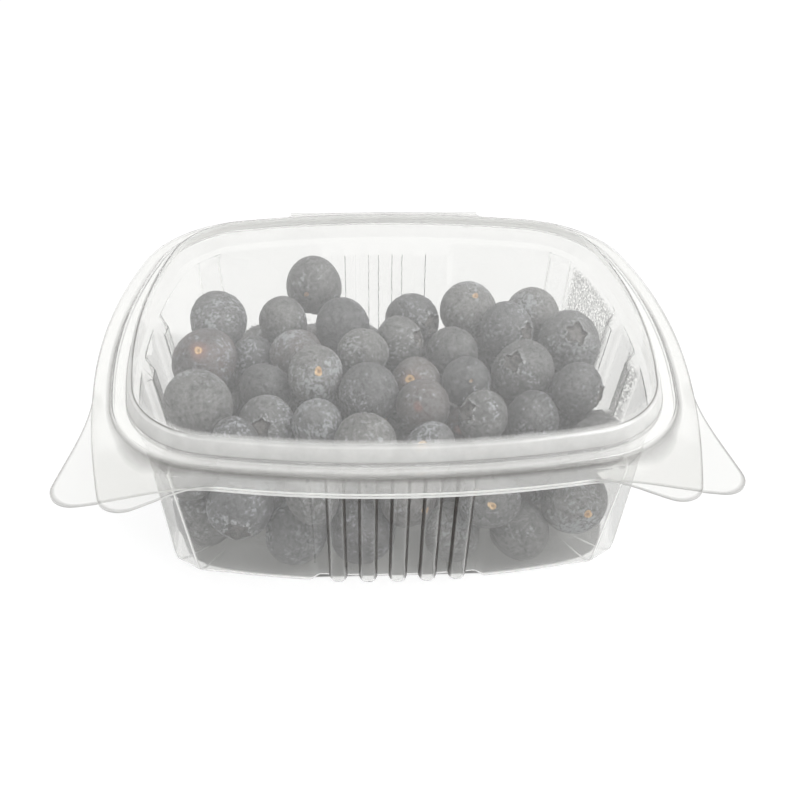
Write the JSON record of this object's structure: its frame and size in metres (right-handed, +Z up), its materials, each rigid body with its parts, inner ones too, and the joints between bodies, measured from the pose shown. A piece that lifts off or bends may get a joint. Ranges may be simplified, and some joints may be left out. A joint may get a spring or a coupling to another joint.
{
  "type": "hinged tub of blueberries",
  "caption": "Clear hinged clamshell tub, shut, with fluted walls, a recessed rim, opening ears at its front corners and a loose heap of blueberries inside.",
  "frame": {"origin": "under the middle of the tub's box, on the surface that it stands on", "axes": "+Z up, -Y to the front, where the ears are, +Y to the hinge at the back, +X to the right seen from the front"},
  "size_m": [0.1366, 0.124, 0.0459],
  "materials": {
    "clear_plastic": "clear thermoformed sheet, glossy",
    "berry_skin": "blue-black fruit skin with a pale waxy bloom"
  },
  "bodies": {
    "tray": {"tray": "clear_plastic", "blueberries": "berry_skin"},
    "lid": {"lid": "clear_plastic"}
  },
  "joints": [
    {"name": "lid_hinge", "type": "hinge", "parent": "tray", "child": "lid", "pos_m": [0, 0.06234, 0.041], "axis": [-1, 0, 0], "range_deg": [0, 180]}
  ]
}
